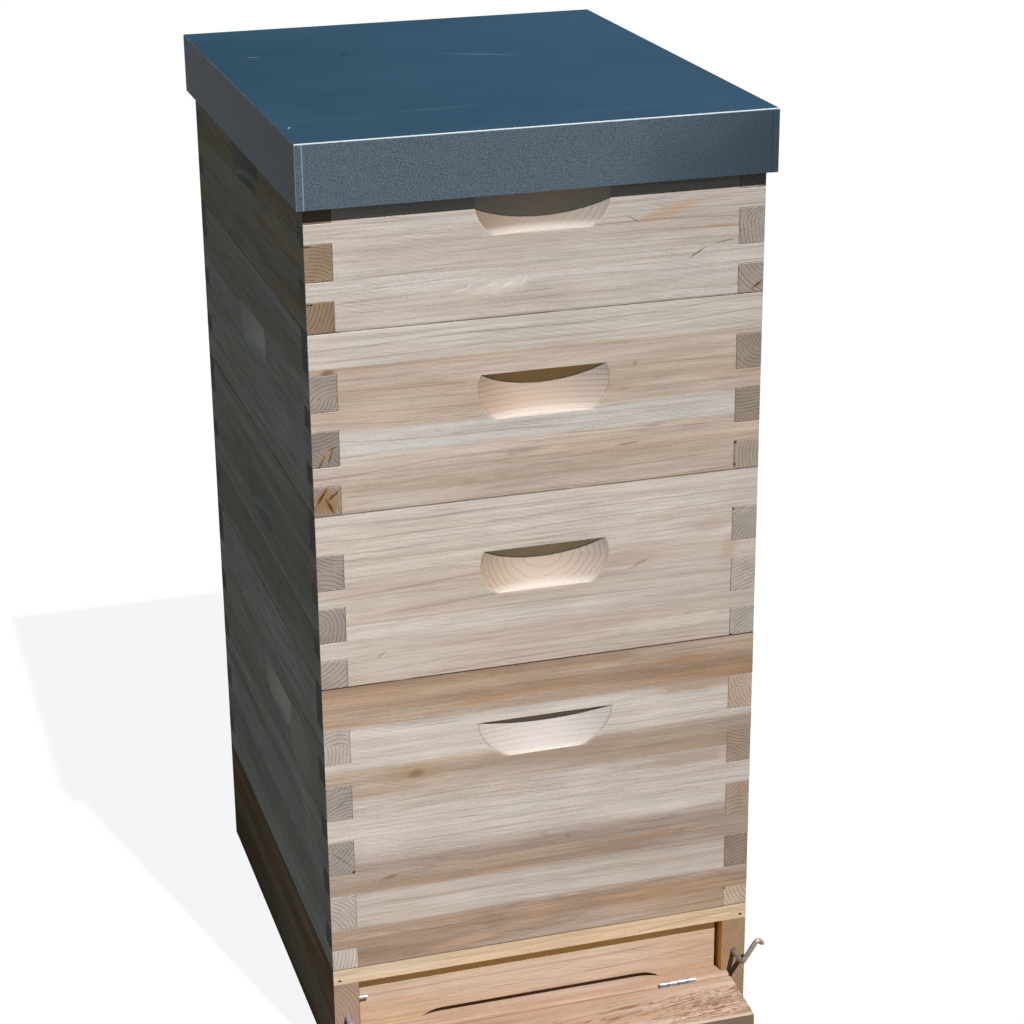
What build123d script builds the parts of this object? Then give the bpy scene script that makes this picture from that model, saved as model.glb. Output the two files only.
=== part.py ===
from build123d import *
from math import asin, cos, radians, sin, sqrt
import os

# A beehive with hanging frames: a high base with a fold-up landing board and a slide-in tray,
# one deep brood box, three shallow supers with frames in each box, and a folded sheet roof.
# Millimetres. X runs to the right along the front, Y to the back and Z up.
# The origin is the middle of the footprint, on the ground.

# Boxes
box_width = 425.0
box_depth = 515.0
wall = 25.0
super_height = 170.0
brood_height = 297.0
super_count = 3

# Finger joints: the wide top pin and the lower pins belong to the front and back panels
super_top_pin = 38.0
super_pin = 18.0
super_bottom_socket = 28.5
super_sockets = 3
brood_top_pin = 42.0
brood_pin = 22.7
brood_bottom_socket = 22.0
brood_sockets = 5

# Hand grips: heights above the bottom of the box, and the barrel-shaped cutter that scoops them,
# whose crowned side is ground in flats; the front grips stand a little right of the middle, and the
# side grips of the brood box lower and nearer to the front
cutter_flats = 6
super_grip_top = 117.5
super_grip_bottom = 75.0
super_grip_widest = 103.0
super_grip_depth = 12.4
super_cutter_radius = 167.0
super_cutter_crown = 77.0
brood_grip_top = 242.0
brood_grip_bottom = 203.7
brood_grip_widest = 242.0
brood_grip_depth = 7.5
brood_cutter_radius = 320.0
brood_cutter_crown = 155.0
front_grip_shift = 2.5
brood_side_grip_drop = 25.0
brood_side_grip_shift = 40.0

# Frames, hung by their lugs in a rebate of the front and back panels
frame_pitch = 35.0
rebate_width = 12.0
rebate_depth = 17.0
lug_height = 10.0
lug_bearing = 8.5
frame_bottom_gap = 5.0
bee_space = 8.5
top_bar_width = 27.0
top_bar_height = 20.0
side_bar_thickness = 10.0
side_bar_width = 27.0
shoulder_height = 80.0
shoulder_taper = 12.0
shoulder_clearance = 0.4
bottom_bar_width = 20.0
bottom_bar_height = 10.0
foundation_thickness = 1.2

# Base: side walls, back wall, front rail, horned sill and the entrance block between them
base_height = 115.0
rail_height = 16.0
rail_depth = 25.0
sill_above_ground = 41.0
sill_thickness = 20.0
sill_depth = 60.0
sill_lip = 7.0
sill_overlap = 6.0
sill_chamfer = 2.5
block_recess = 10.0
block_thickness = 20.0
block_end_gap = 4.0
block_clearance = 0.4
slot_width = 248.0
slot_height = 7.0
slot_end_length = 22.0
retainer_diameter = 4.5
retainer_below_rail = 22.0
retainer_reach = 9.5
retainer_grip = 15.0
retainer_clearance = 0.25
retainer_chamfer = 0.4
nail_shank = 2.0
nail_head_diameter = 3.4
nail_head_height = 1.2
nail_sink = 1.0
nail_length = 50.0
nail_inset = 6.0
nail_rise = 4.0
bore_clearance = 0.05

# Mesh floor, its battens, and the tray that slides in below it from the back
batten_width = 15.0
batten_height = 12.0
mesh_thickness = 1.0
mesh_pitch = 46.0
mesh_wire = 3.0
mesh_margin = 14.0
runner_width = 18.0
runner_height = 7.0
tray_clearance = 0.4
tray_headroom = 3.0
tray_sheet = 1.0
tray_rim = 9.0
drawer_front_rise = 3.0
drawer_front_above_ground = 4.0
drawer_notch_radius = 45.0
drawer_notch_depth = 7.0

# Landing board and its two butt hinges, whose leaves lie in the joint with the sill
landing_length = 66.0
landing_thickness = 12.0
landing_slope = 5.0
landing_edge_round = 1.5
landing_side_clearance = 0.5
hinge_spread = 274.4
hinge_width = 38.5
hinge_leaf = 1.2
hinge_leaf_height = 10.5
hinge_leaf_gap = 0.3
hinge_knuckles = 4
hinge_knuckle_radius = 2.0
hinge_knuckle_gap = 0.8
hinge_knuckle_rise = 1.0
hinge_pin_diameter = 2.0

# Turn hooks that hold the landing board when it is folded up
hook_wire = 5.3
hook_from_inside = 12.5
hook_below_rail = 36.8
hook_sides = 7
hook_reach = 24.9
hook_grip = 20.0
hook_bend = 4.0
hook_arm = 24.5
hook_curl = 3.8
hook_curl_turn = 150.0
right_hook_angle = 57.0
left_hook_angle = 225.0

# Sheet roof, which lies on the rim of the top super
roof_sheet = 1.0
roof_side_clearance = 6.0
roof_end_clearance = 9.0
roof_skirt = 58.0
roof_fold_radius = 1.6
roof_hem = 8.0
roof_lap_width = 6.0
roof_lap_proud = 0.5
roof_lap_margin = 0.5

# Sizes that follow from those above
half_width = box_width / 2
half_depth = box_depth / 2
inner_width = box_width - 2 * wall
inner_depth = box_depth - 2 * wall
front = -half_depth
sill_top = sill_above_ground
rail_bottom = base_height - rail_height
sill_front = front - sill_lip
hinge_y = sill_front - hinge_leaf - hinge_leaf_gap / 2
hinge_z = sill_top + hinge_knuckle_rise
hinge_stations = (-hinge_spread / 2, hinge_spread / 2)
landing_width = inner_width + 2 * (sill_overlap - landing_side_clearance)
hook_x = inner_width / 2 + hook_from_inside
hook_z = rail_bottom - hook_below_rail
retainer_y = front + block_recess - retainer_diameter / 2 - retainer_clearance
retainer_z = rail_bottom - retainer_below_rail
nail_x = half_width - nail_inset
nail_z = rail_bottom + nail_rise
nail_hole = nail_shank + 2 * bore_clearance
frame_length = inner_depth - 2 * bee_space
frame_count = int(inner_width / frame_pitch)
frame_stations = [(index - (frame_count - 1) / 2) * frame_pitch for index in range(frame_count)]
bar_top_below_rim = rebate_depth - lug_height

os.makedirs("parts", exist_ok=True)


def save(piece, name):
    piece.part.label = name
    export_step(piece.part, f"parts/{name}.step")


def panel_face(side, floor):
    """Outer face of one side of a box: x along the panel, y up from the floor, normal outwards."""
    faces = {
        "front": Plane((0, -half_depth, floor), x_dir=(1, 0, 0), z_dir=(0, -1, 0)),
        "back": Plane((0, half_depth, floor), x_dir=(-1, 0, 0), z_dir=(0, 1, 0)),
        "left": Plane((-half_width, 0, floor), x_dir=(0, -1, 0), z_dir=(-1, 0, 0)),
        "right": Plane((half_width, 0, floor), x_dir=(0, 1, 0), z_dir=(1, 0, 0)),
    }
    return faces[side]


def socket_spans(height, top_pin, pin, bottom_socket, count):
    """Bottom and height of each place where a side panel's end grain shows, from the bottom up."""
    upper = count - 1
    upper_socket = (height - top_pin - bottom_socket - upper * pin) / upper
    spans = [(0.0, bottom_socket)]
    bottom = bottom_socket + pin
    for _ in range(upper):
        spans.append((bottom, upper_socket))
        bottom += upper_socket + pin
    return spans


def cutter_radius_at(level, grip):
    """Radius of the barrel-shaped grip cutter at a height above the bottom of the box."""
    _, _, widest, _, radius, crown = grip
    return radius - crown + sqrt(crown**2 - (level - widest) ** 2)


def cutter_levels(grip):
    """Heights where the flats of the cutter meet, at even steps round its crown."""
    top, bottom, widest, _, _, crown = grip
    start = asin((bottom - widest) / crown)
    step = (asin((top - widest) / crown) - start) / cutter_flats
    return [widest + crown * sin(start + step * index) for index in range(cutter_flats + 1)]


def box_panel(side, floor, height, spans, grip, grip_shift):
    """One finger-jointed wall of a box, with its hand grip and, at front and back, the frame rebate."""
    face = panel_face(side, floor)
    pinned = side in ("front", "back")
    length = box_width if pinned else box_depth
    grip_top, grip_bottom, _, grip_depth, radius, _ = grip
    axis_out = radius - grip_depth
    grip_middle = face.from_local_coords((grip_shift, 0, 0))
    profile_plane = Plane(grip_middle, x_dir=face.z_dir, z_dir=-face.x_dir)

    with BuildPart() as panel:
        with BuildSketch(face):
            with Locations((0, height / 2)):
                Rectangle(length if pinned else length - 2 * wall, height)
            for bottom, size in spans:
                middle = bottom + size / 2
                with Locations((-(length - wall) / 2, middle), ((length - wall) / 2, middle)):
                    Rectangle(wall, size, mode=Mode.SUBTRACT if pinned else Mode.ADD)
        extrude(amount=-wall)

        if pinned:
            with BuildSketch(face.offset(-wall)):
                with Locations((0, height - rebate_depth / 2)):
                    Rectangle(inner_width, rebate_depth)
            extrude(amount=rebate_width, mode=Mode.SUBTRACT)

        levels = cutter_levels(grip)
        crowned_side = [(axis_out - cutter_radius_at(level, grip), level) for level in levels]
        with BuildSketch(profile_plane):
            with BuildLine():
                Polyline(*crowned_side, (axis_out, grip_top), (axis_out, grip_bottom), close=True)
            make_face()
        cutter_axis = Axis(profile_plane.from_local_coords((axis_out, 0, 0)), face.y_dir)
        revolve(axis=cutter_axis, mode=Mode.SUBTRACT)
    return panel


def top_bars(rim):
    """Frame top bars, each with a thinner lug at both ends."""
    top = rim - bar_top_below_rim
    lug_end = inner_depth / 2 + lug_bearing
    shoulder = frame_length / 2
    with BuildPart() as bars:
        with BuildSketch(*[Plane.YZ.offset(station) for station in frame_stations]):
            with BuildLine():
                Polyline(
                    (-lug_end, top),
                    (lug_end, top),
                    (lug_end, top - lug_height),
                    (shoulder, top - lug_height),
                    (shoulder, top - top_bar_height),
                    (-shoulder, top - top_bar_height),
                    (-shoulder, top - lug_height),
                    (-lug_end, top - lug_height),
                    close=True,
                )
            make_face()
        extrude(amount=top_bar_width / 2, both=True)
    return bars


def side_bars(rim, frame_bottom):
    """Frame side bars with the wide shoulders that keep the frames one pitch apart."""
    top = rim - bar_top_below_rim - top_bar_height
    wide = (frame_pitch - shoulder_clearance) / 2
    narrow = side_bar_width / 2
    shoulder_foot = top - shoulder_height
    outer = frame_length / 2
    planes = [Plane.XZ.offset(outer - side_bar_thickness), Plane.XZ.offset(-outer)]
    with BuildPart() as bars:
        with BuildSketch(*planes):
            for station in frame_stations:
                with BuildLine():
                    Polyline(
                        (station - wide, top),
                        (station + wide, top),
                        (station + wide, shoulder_foot),
                        (station + narrow, shoulder_foot - shoulder_taper),
                        (station + narrow, frame_bottom),
                        (station - narrow, frame_bottom),
                        (station - narrow, shoulder_foot - shoulder_taper),
                        (station - wide, shoulder_foot),
                        close=True,
                    )
                make_face()
        extrude(amount=side_bar_thickness)
    return bars


def bottom_bars(frame_bottom):
    """Frame bottom bars, held between the side bars."""
    with BuildPart() as bars:
        with BuildSketch(Plane.XY.offset(frame_bottom)):
            with Locations(*[(station, 0) for station in frame_stations]):
                Rectangle(bottom_bar_width, frame_length - 2 * side_bar_thickness)
        extrude(amount=bottom_bar_height)
    return bars


def foundations(rim, frame_bottom):
    """Wax sheets, one in each frame, from the bottom bar up to the top bar."""
    low = frame_bottom + bottom_bar_height
    high = rim - bar_top_below_rim - top_bar_height
    with BuildPart() as sheets:
        with BuildSketch(Plane.XY.offset(low)):
            with Locations(*[(station, 0) for station in frame_stations]):
                Rectangle(foundation_thickness, frame_length - 2 * side_bar_thickness)
        extrude(amount=high - low)
    return sheets


def hive_box(name, floor, height, spans, grip, side_grip, side_grip_shift):
    """Four jointed panels and ten hanging frames; side grips are shifted towards the front."""
    rim = floor + height
    frame_bottom = floor + frame_bottom_gap
    grips = {
        "front": (grip, front_grip_shift),
        "back": (grip, 0.0),
        "left": (side_grip, side_grip_shift),
        "right": (side_grip, -side_grip_shift),
    }
    for side, (own_grip, grip_shift) in grips.items():
        save(box_panel(side, floor, height, spans, own_grip, grip_shift), f"{name}_{side}_panel")
    save(top_bars(rim), f"{name}_frame_top_bars")
    save(side_bars(rim, frame_bottom), f"{name}_frame_side_bars")
    save(bottom_bars(frame_bottom), f"{name}_frame_bottom_bars")
    save(foundations(rim, frame_bottom), f"{name}_foundation_sheets")


# Brood box and supers, stacked on the base
brood_grip = (
    brood_grip_top,
    brood_grip_bottom,
    brood_grip_widest,
    brood_grip_depth,
    brood_cutter_radius,
    brood_cutter_crown,
)
brood_side_grip = (
    brood_grip_top - brood_side_grip_drop,
    brood_grip_bottom - brood_side_grip_drop,
    brood_grip_widest - brood_side_grip_drop,
    brood_grip_depth,
    brood_cutter_radius,
    brood_cutter_crown,
)
super_grip = (
    super_grip_top,
    super_grip_bottom,
    super_grip_widest,
    super_grip_depth,
    super_cutter_radius,
    super_cutter_crown,
)
brood_spans = socket_spans(brood_height, brood_top_pin, brood_pin, brood_bottom_socket, brood_sockets)
super_spans = socket_spans(super_height, super_top_pin, super_pin, super_bottom_socket, super_sockets)
hive_box("brood", base_height, brood_height, brood_spans, brood_grip, brood_side_grip, brood_side_grip_shift)
for number in range(super_count):
    super_floor = base_height + brood_height + number * super_height
    hive_box(f"super_{number + 1}", super_floor, super_height, super_spans, super_grip, super_grip, 0.0)
stack_top = base_height + brood_height + super_count * super_height


# Base walls: notched at the top front corner for the rail, bored for the turn hook and the rail nail
def base_wall(side):
    """Side wall of the base; side is -1 on the left and 1 on the right."""
    outer_face = side * half_width
    with BuildPart() as plank:
        with BuildSketch(Plane.YZ.offset(outer_face)):
            with Locations((0, base_height / 2)):
                Rectangle(box_depth, base_height)
            with Locations((front + rail_depth / 2, base_height - rail_height / 2)):
                Rectangle(rail_depth, rail_height, mode=Mode.SUBTRACT)
        extrude(amount=-side * wall)
        with BuildSketch(Plane.XZ.offset(half_depth)):
            with Locations((side * hook_x, hook_z)):
                Circle(hook_wire / 2 + bore_clearance)
        extrude(amount=-hook_grip, mode=Mode.SUBTRACT)
        with BuildSketch(Plane.XZ.offset(half_depth)):
            with Locations((side * nail_x, nail_z)):
                Rectangle(nail_hole, nail_hole)
        extrude(amount=-nail_length - nail_sink, mode=Mode.SUBTRACT)
        if side < 0:
            with BuildSketch(Plane.YZ.offset(-inner_width / 2)):
                with Locations((retainer_y, retainer_z)):
                    Circle(retainer_diameter / 2 + bore_clearance)
            extrude(amount=-retainer_grip, mode=Mode.SUBTRACT)
    return plank


save(base_wall(-1), "base_left_wall")
save(base_wall(1), "base_right_wall")

# Levels under the mesh floor, from the sill down: battens, tray and its runners
batten_top = sill_top - mesh_thickness
batten_bottom = batten_top - batten_height
tray_top = batten_bottom - tray_headroom
runner_top = tray_top - tray_rim
drawer_front_top = tray_top + drawer_front_rise

# Back wall of the base, above the slot for the tray
back_wall_bottom = drawer_front_top + tray_clearance
with BuildPart() as back_wall:
    with BuildSketch(Plane.XY.offset(back_wall_bottom)):
        with Locations((0, half_depth - wall / 2)):
            Rectangle(inner_width, wall)
    extrude(amount=base_height - back_wall_bottom)
save(back_wall, "base_back_wall")

# Front rail across both side walls, with a nail through each end
nail_places = [(-nail_x, nail_z), (nail_x, nail_z)]
with BuildPart() as rail:
    with BuildSketch(Plane.XY.offset(rail_bottom)):
        with Locations((0, front + rail_depth / 2)):
            Rectangle(box_width, rail_depth)
    extrude(amount=rail_height)
    with BuildSketch(Plane.XZ.offset(half_depth)):
        with Locations(*nail_places):
            Rectangle(nail_hole, nail_hole)
    extrude(amount=-rail_depth, mode=Mode.SUBTRACT)
    with BuildSketch(Plane.XZ.offset(half_depth)):
        with Locations(*nail_places):
            Circle(nail_head_diameter / 2 + bore_clearance)
    extrude(amount=-nail_sink - nail_head_height, mode=Mode.SUBTRACT)
save(rail, "base_front_rail")

with BuildPart() as nails:
    with BuildSketch(Plane.XZ.offset(half_depth - nail_sink)):
        with Locations(*nail_places):
            Circle(nail_head_diameter / 2)
    extrude(amount=-nail_head_height)
    with BuildSketch(Plane.XZ.offset(half_depth - nail_sink)):
        with Locations(*nail_places):
            Rectangle(nail_shank, nail_shank)
    extrude(amount=-nail_length)
save(nails, "rail_nails")

# Horned sill: a board between the side walls with a lip that overlaps their front ends
with BuildPart() as sill:
    with BuildSketch(Plane.XY.offset(sill_top - sill_thickness)):
        with Locations((0, front + sill_depth / 2)):
            Rectangle(inner_width, sill_depth)
        with Locations((0, front - sill_lip / 2)):
            Rectangle(inner_width + 2 * sill_overlap, sill_lip)
    extrude(amount=sill_thickness)
    front_edge = sill.edges().filter_by(Axis.X).group_by(Axis.Y)[0].sort_by(Axis.Z)[-1]
    chamfer(front_edge, sill_chamfer)
save(sill, "entrance_sill")

# Entrance block: stands on the sill under the rail, with a long low flight slot in its bottom edge
block_height = rail_bottom - sill_top - block_clearance
block_left = -inner_width / 2 + block_clearance
block_right = inner_width / 2 - block_end_gap
slot_arch_radius = (slot_end_length**2 + slot_height**2) / (2 * slot_height)
slot_arch_middle = slot_end_length / 2
slot_arch_rise = sqrt(slot_arch_radius**2 - slot_arch_middle**2) - slot_arch_radius
slot_top = sill_top + slot_height
slot_half = slot_width / 2
slot_flat = slot_half - slot_end_length
with BuildPart() as block:
    with BuildSketch(Plane.XZ.offset(half_depth - block_recess)):
        with Locations(((block_left + block_right) / 2, sill_top + block_height / 2)):
            Rectangle(block_right - block_left, block_height)
        with BuildLine():
            left_arch = ThreePointArc(
                (-slot_half, sill_top),
                (-slot_flat - slot_arch_middle, slot_top + slot_arch_rise),
                (-slot_flat, slot_top),
            )
            right_arch = ThreePointArc(
                (slot_flat, slot_top),
                (slot_flat + slot_arch_middle, slot_top + slot_arch_rise),
                (slot_half, sill_top),
            )
            Line(left_arch @ 1, right_arch @ 0)
            Line(right_arch @ 1, left_arch @ 0)
        make_face(mode=Mode.SUBTRACT)
    extrude(amount=-block_thickness)
save(block, "entrance_block")

# Retaining pin in front of the block, set in the left wall
with BuildPart() as retainer:
    with BuildSketch(Plane.YZ.offset(-inner_width / 2 - retainer_grip)):
        with Locations((retainer_y, retainer_z)):
            Circle(retainer_diameter / 2)
    extrude(amount=retainer_grip + retainer_reach)
    chamfer(retainer.faces().sort_by(Axis.X)[-1].edges(), retainer_chamfer)
save(retainer, "block_retaining_pin")

# Battens along the side walls and the back wall carry the mesh floor, level with the sill
mesh_front = front + sill_depth
mesh_back = half_depth - wall
mesh_depth = mesh_back - mesh_front
mesh_middle = (mesh_front + mesh_back) / 2
side_batten_x = (inner_width - batten_width) / 2
side_batten_y = mesh_middle - batten_width / 2
with BuildPart() as side_battens:
    with BuildSketch(Plane.XY.offset(batten_bottom)):
        with Locations((-side_batten_x, side_batten_y), (side_batten_x, side_batten_y)):
            Rectangle(batten_width, mesh_depth - batten_width)
    extrude(amount=batten_height)
save(side_battens, "mesh_side_battens")

with BuildPart() as back_batten:
    with BuildSketch(Plane.XY.offset(batten_bottom)):
        with Locations((0, mesh_back - batten_width / 2)):
            Rectangle(inner_width, batten_width)
    extrude(amount=batten_height)
save(back_batten, "mesh_back_batten")

mesh_columns = int((inner_width - 2 * mesh_margin) / mesh_pitch)
mesh_rows = int((mesh_depth - 2 * mesh_margin) / mesh_pitch)
with BuildPart() as mesh:
    with BuildSketch(Plane.XY.offset(batten_top)):
        with Locations((0, mesh_middle)):
            Rectangle(inner_width, mesh_depth)
            with GridLocations(mesh_pitch, mesh_pitch, mesh_columns, mesh_rows):
                Rectangle(mesh_pitch - mesh_wire, mesh_pitch - mesh_wire, mode=Mode.SUBTRACT)
    extrude(amount=mesh_thickness)
save(mesh, "mesh_floor")

# Runners along the side walls, and the tray with its wooden front that slide in on them from the back
runner_x = (inner_width - runner_width) / 2
with BuildPart() as runners:
    with BuildSketch(Plane.XY.offset(runner_top - runner_height)):
        with Locations((-runner_x, mesh_middle), (runner_x, mesh_middle)):
            Rectangle(runner_width, mesh_depth)
    extrude(amount=runner_height)
save(runners, "tray_runners")

tray_width = inner_width - 2 * tray_clearance
with BuildPart() as tray:
    with BuildSketch(Plane.XY.offset(runner_top)):
        with Locations((0, mesh_middle)):
            Rectangle(tray_width, mesh_depth)
    extrude(amount=tray_rim)
    offset(amount=-tray_sheet, openings=tray.faces().sort_by(Axis.Z)[-1])
save(tray, "varroa_tray")

drawer_front_height = drawer_front_top - drawer_front_above_ground
drawer_notch_middle = drawer_front_top + drawer_notch_radius - drawer_notch_depth
with BuildPart() as drawer_front:
    with BuildSketch(Plane.XZ.offset(-mesh_back)):
        with Locations((0, drawer_front_above_ground + drawer_front_height / 2)):
            Rectangle(tray_width, drawer_front_height)
        with Locations((0, drawer_notch_middle)):
            Circle(drawer_notch_radius, mode=Mode.SUBTRACT)
    extrude(amount=-wall)
save(drawer_front, "tray_front")

# Landing board: square to the sill at its back edge, sloping gently down to the front
landing_back = hinge_y - hinge_leaf_gap / 2 - hinge_leaf
slope_run = cos(radians(landing_slope))
slope_fall = sin(radians(landing_slope))
landing_front = landing_back - landing_length * slope_run
landing_front_top = sill_top - landing_length * slope_fall
landing_nose = landing_front - landing_thickness * slope_fall
landing_nose_bottom = landing_front_top - landing_thickness * slope_run
landing_back_bottom = sill_top - landing_thickness / slope_run
with BuildPart() as landing:
    with BuildSketch(Plane.YZ):
        with BuildLine():
            Polyline(
                (landing_back, sill_top),
                (landing_front, landing_front_top),
                (landing_nose, landing_nose_bottom),
                (landing_back, landing_back_bottom),
                close=True,
            )
        make_face()
    extrude(amount=landing_width / 2, both=True)
    back_edge = landing.edges().filter_by(Axis.X).sort_by(Axis.Z)[-1]
    chamfer(back_edge, sill_chamfer)
    front_edges = landing.edges().filter_by(Axis.X).group_by(Axis.Y)
    fillet(front_edges[1].sort_by(Axis.Z)[-1], landing_edge_round)
save(landing, "landing_board")


def hinge_leaves(toward_sill):
    """One leaf of both butt hinges: a plate below the knuckle line with every second knuckle."""
    knuckle_pitch = hinge_width / hinge_knuckles
    own = 0 if toward_sill else 1
    inner_face = hinge_y + (1 if toward_sill else -1) * hinge_leaf_gap / 2
    direction = -1 if toward_sill else 1
    plate_bottom = hinge_z - hinge_leaf_height
    knuckle_middles = [
        (index - (hinge_knuckles - 1) / 2) * knuckle_pitch
        for index in range(hinge_knuckles)
    ]
    own_middles = [middle for index, middle in enumerate(knuckle_middles) if index % 2 == own]
    other_middles = [middle for index, middle in enumerate(knuckle_middles) if index % 2 != own]
    knuckle_length = knuckle_pitch - hinge_knuckle_gap
    notch_height = 2 * (hinge_knuckle_radius + hinge_knuckle_gap)
    with BuildPart() as leaves:
        with BuildSketch(Plane.XZ.offset(-inner_face)):
            for station in hinge_stations:
                with Locations((station, plate_bottom + hinge_leaf_height / 2)):
                    Rectangle(hinge_width - hinge_knuckle_gap, hinge_leaf_height)
                with Locations(*[(station + middle, hinge_z) for middle in other_middles]):
                    Rectangle(knuckle_pitch + hinge_knuckle_gap, notch_height, mode=Mode.SUBTRACT)
        extrude(amount=direction * hinge_leaf)
        knuckle_ends = [
            Plane.YZ.offset(station + middle - knuckle_length / 2)
            for station in hinge_stations
            for middle in own_middles
        ]
        with BuildSketch(*knuckle_ends):
            with Locations((hinge_y, hinge_z)):
                Circle(hinge_knuckle_radius)
        extrude(amount=knuckle_length)
        with BuildSketch(Plane.YZ):
            with Locations((hinge_y, hinge_z)):
                Circle(hinge_pin_diameter / 2 + bore_clearance)
        extrude(amount=half_width, both=True, mode=Mode.SUBTRACT)
    return leaves


save(hinge_leaves(True), "hinge_sill_leaves")
save(hinge_leaves(False), "hinge_board_leaves")

with BuildPart() as hinge_pins:
    with BuildSketch(*[Plane.YZ.offset(station) for station in hinge_stations]):
        with Locations((hinge_y, hinge_z)):
            Circle(hinge_pin_diameter / 2)
    extrude(amount=hinge_width / 2, both=True)
save(hinge_pins, "hinge_pins")


def turn_hook(side, angle):
    """Bent wire hook: a shank out of the wall, an arm across it and a curled end, turned clockwise."""
    shank_x = side * hook_x
    arm = Vector(cos(radians(angle)), 0, sin(radians(angle)))
    clockwise = Vector(sin(radians(angle)), 0, -cos(radians(angle)))
    corner = Vector(shank_x, front - hook_reach, hook_z)
    arm_end = corner + arm * hook_arm
    curl_middle = arm_end + clockwise * hook_curl

    def on_curl(turn):
        across = clockwise * (hook_curl * cos(radians(turn)))
        along = arm * (hook_curl * sin(radians(turn)))
        return curl_middle - across + along

    with BuildPart() as hook:
        with BuildLine():
            shank = FilletPolyline((shank_x, front + hook_grip, hook_z), corner, arm_end, radius=hook_bend)
            ThreePointArc(arm_end, on_curl(hook_curl_turn / 2), on_curl(hook_curl_turn))
        with BuildSketch(Plane(shank @ 0, z_dir=(0, -1, 0))):
            RegularPolygon(hook_wire / 2, hook_sides)
        sweep()
    return hook


save(turn_hook(-1, left_hook_angle), "turn_hook_left")
save(turn_hook(1, right_hook_angle), "turn_hook_right")

# Roof: one folded sheet with rounded folds, a hem inside the lower edge and laps round the corners
roof_width = box_width + 2 * (roof_side_clearance + roof_sheet)
roof_depth = box_depth + 2 * (roof_end_clearance + roof_sheet)
roof_top = stack_top + roof_sheet
roof_bottom = roof_top - roof_skirt
lap_x = roof_width / 2 - roof_lap_margin - roof_lap_width / 2
lap_y = roof_depth / 2 + (roof_lap_proud - roof_sheet) / 2
lap_height = roof_skirt - roof_fold_radius - roof_lap_margin
hem_width = roof_width - 4 * roof_sheet
hem_depth = roof_depth - 4 * roof_sheet
with BuildPart() as roof:
    with BuildSketch(Plane.XY.offset(roof_bottom)):
        Rectangle(roof_width, roof_depth)
    extrude(amount=roof_skirt)
    fillet(roof.faces().sort_by(Axis.Z)[-1].edges(), roof_fold_radius)
    with BuildSketch(Plane.XY.offset(roof_bottom + roof_hem)):
        Rectangle(roof_width - 2 * roof_sheet, roof_depth - 2 * roof_sheet)
    extrude(amount=roof_skirt - roof_hem - roof_sheet, mode=Mode.SUBTRACT)
    with BuildSketch(Plane.XY.offset(roof_bottom)):
        Rectangle(hem_width, hem_depth)
    extrude(amount=roof_hem, mode=Mode.SUBTRACT)
    with BuildSketch(Plane.XY.offset(roof_bottom)):
        with Locations((-lap_x, -lap_y), (lap_x, -lap_y), (-lap_x, lap_y), (lap_x, lap_y)):
            Rectangle(roof_lap_width, roof_lap_proud + roof_sheet)
    extrude(amount=lap_height)
save(roof, "roof_sheet")
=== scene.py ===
from collections import namedtuple
from math import cos, radians, sin

import bpy
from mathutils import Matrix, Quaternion, Vector


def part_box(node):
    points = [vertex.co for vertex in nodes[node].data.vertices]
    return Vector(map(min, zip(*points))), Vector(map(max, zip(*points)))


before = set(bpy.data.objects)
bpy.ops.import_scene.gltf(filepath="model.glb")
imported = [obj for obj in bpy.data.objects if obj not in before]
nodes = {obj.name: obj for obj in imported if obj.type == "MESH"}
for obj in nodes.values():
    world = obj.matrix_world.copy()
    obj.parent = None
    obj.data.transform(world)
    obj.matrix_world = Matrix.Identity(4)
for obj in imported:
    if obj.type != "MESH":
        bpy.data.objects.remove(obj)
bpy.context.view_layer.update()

# A beehive with hanging frames, dressed in weathered wood, coated sheet and plain hardware.
# Metres in the frame of the CAD model: X right along the front, Y to the back, Z up.
# Panel sizes in the tables below are millimetres, measured on the panel.
MM = 0.001
front_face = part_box("brood_front_panel")[0].y
back_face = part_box("brood_back_panel")[1].y
left_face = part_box("brood_left_panel")[0].x
right_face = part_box("brood_right_panel")[1].x
board_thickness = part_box("brood_front_panel")[1].y - front_face
landing_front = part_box("landing_board")[0].y

# Camera, as the photograph sees the hive
camera_place = Vector((-0.6335, -2.2731, 1.3847))
camera_azimuth = radians(16.70)
camera_tilt = radians(21.26)
camera_roll = radians(-0.576)
camera_lens = 86.95
camera_sensor = 36.0

# Light: a sun-like key from the right of the front, a weak cool fill, and a low lamp for the back
key_right = radians(14.0)
key_height = radians(52.0)
key_strength = 4.95
key_spread = radians(0.7)
key_colour = (1.0, 0.99, 0.99)
fill_colour = (0.64, 0.89, 1.0)
fill_strength = 0.15
back_right = radians(180.0)
back_height = radians(4.0)
back_strength = 1.1
floor_size = 40.0
floor_reflectance = 0.08
floor_glow = 0.9


def paint(red, green, blue):
    """Linear colour from the 0 to 255 values of a colour picker."""
    def linear(value):
        value = value / 255
        return value / 12.92 if value <= 0.04045 else ((value + 0.055) / 1.055) ** 2.4
    return (linear(red), linear(green), linear(blue), 1.0)


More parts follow.
